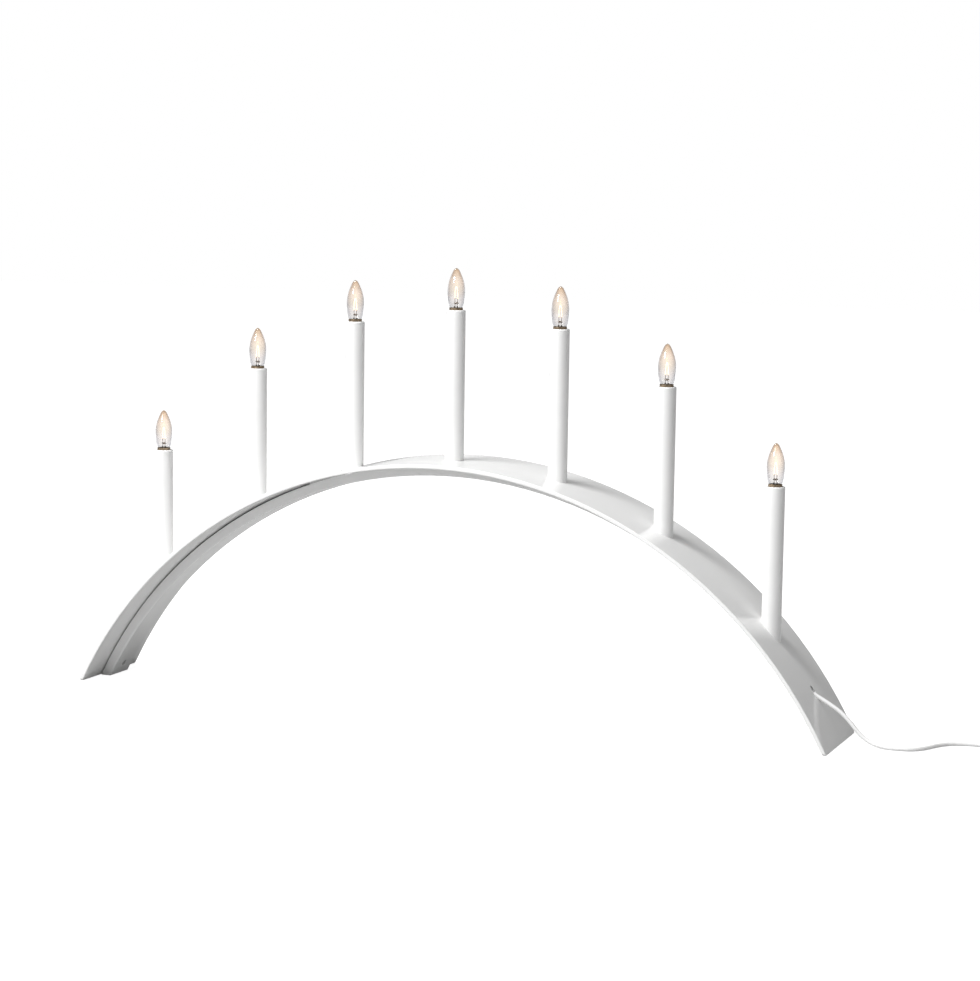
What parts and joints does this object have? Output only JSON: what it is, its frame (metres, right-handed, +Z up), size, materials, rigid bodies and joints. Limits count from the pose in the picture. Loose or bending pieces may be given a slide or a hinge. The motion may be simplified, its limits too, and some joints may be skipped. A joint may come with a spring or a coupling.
{
  "type": "electric candle arch",
  "caption": "Electric candle arch: a wide bent band carries upright candle tubes with screw-in pointed bulbs, and a channel under it hides the wiring to a mains cord.",
  "frame": {"origin": "on the table, under the middle of the band, centred between its two feet and its two edges", "axes": "+X along the arch towards the foot that the cord leaves, +Y to the back, +Z up"},
  "size_m": [0.9471, 0.1691, 0.3995],
  "materials": {
    "lacquered_band": "white semi-gloss lacquer on bent laminate",
    "lacquered_channel": "white semi-gloss lacquer",
    "candle_plastic": "smooth white, slightly glossy",
    "fitting_plastic": "plain moulded white",
    "contact_brass": "rolled sheet",
    "cap_brass": "darkened brass with a rolled thread",
    "bulb_glass": "clear",
    "filament": "dark lead wires with a warm filament",
    "screw_steel": "zinc-plated",
    "wire_insulation": "soft white insulation",
    "cord_sheath": "soft white sheath",
    "cord_tie": "moulded strap",
    "plug_plastic": "fine-textured white moulding",
    "plug_pin_brass": "nickel-plated"
  },
  "bodies": {
    "root": {"arch_band": "lacquered_band", "wiring_cover": "lacquered_channel", "candle_tube_1": "candle_plastic", "candle_tube_2": "candle_plastic", "candle_tube_3": "candle_plastic", "candle_tube_4": "candle_plastic", "candle_tube_5": "candle_plastic", "candle_tube_6": "candle_plastic", "candle_tube_7": "candle_plastic", "lampholder_1": "fitting_plastic", "lampholder_2": "fitting_plastic", "lampholder_3": "fitting_plastic", "lampholder_4": "fitting_plastic", "lampholder_5": "fitting_plastic", "lampholder_6": "fitting_plastic", "lampholder_7": "fitting_plastic", "tube_spigot_1": "fitting_plastic", "tube_spigot_2": "fitting_plastic", "tube_spigot_3": "fitting_plastic", "tube_spigot_4": "fitting_plastic", "tube_spigot_5": "fitting_plastic", "tube_spigot_6": "fitting_plastic", "tube_spigot_7": "fitting_plastic", "cord_clamp": "fitting_plastic", "holder_shells": "contact_brass", "centre_contacts": "contact_brass", "cover_screws": "screw_steel", "clamp_screws": "screw_steel", "wiring": "wire_insulation", "cord_lead": "cord_sheath", "cord_coil": "cord_sheath", "cord_tail": "cord_sheath", "cord_inner": "cord_sheath", "cord_tie": "cord_tie", "plug_body": "plug_plastic", "plug_pins": "plug_pin_brass"},
    "bulb_1": {"bulb_cap_1": "cap_brass", "bulb_glass_1": "bulb_glass", "bulb_filament_1": "filament"},
    "bulb_2": {"bulb_cap_2": "cap_brass", "bulb_glass_2": "bulb_glass", "bulb_filament_2": "filament"},
    "bulb_3": {"bulb_cap_3": "cap_brass", "bulb_glass_3": "bulb_glass", "bulb_filament_3": "filament"},
    "bulb_4": {"bulb_cap_4": "cap_brass", "bulb_glass_4": "bulb_glass", "bulb_filament_4": "filament"},
    "bulb_5": {"bulb_cap_5": "cap_brass", "bulb_glass_5": "bulb_glass", "bulb_filament_5": "filament"},
    "bulb_6": {"bulb_cap_6": "cap_brass", "bulb_glass_6": "bulb_glass", "bulb_filament_6": "filament"},
    "bulb_7": {"bulb_cap_7": "cap_brass", "bulb_glass_7": "bulb_glass", "bulb_filament_7": "filament"}
  },
  "joints": [
    {"name": "bulb_1_lift", "type": "slide", "parent": "root", "child": "bulb_1", "axis": [0, 0, 1], "range_m": [0, 0.0145]},
    {"name": "bulb_2_lift", "type": "slide", "parent": "root", "child": "bulb_2", "axis": [0, 0, 1], "range_m": [0, 0.0145]},
    {"name": "bulb_3_lift", "type": "slide", "parent": "root", "child": "bulb_3", "axis": [0, 0, 1], "range_m": [0, 0.0145]},
    {"name": "bulb_4_lift", "type": "slide", "parent": "root", "child": "bulb_4", "axis": [0, 0, 1], "range_m": [0, 0.0145]},
    {"name": "bulb_5_lift", "type": "slide", "parent": "root", "child": "bulb_5", "axis": [0, 0, 1], "range_m": [0, 0.0145]},
    {"name": "bulb_6_lift", "type": "slide", "parent": "root", "child": "bulb_6", "axis": [0, 0, 1], "range_m": [0, 0.0145]},
    {"name": "bulb_7_lift", "type": "slide", "parent": "root", "child": "bulb_7", "axis": [0, 0, 1], "range_m": [0, 0.0145]}
  ]
}
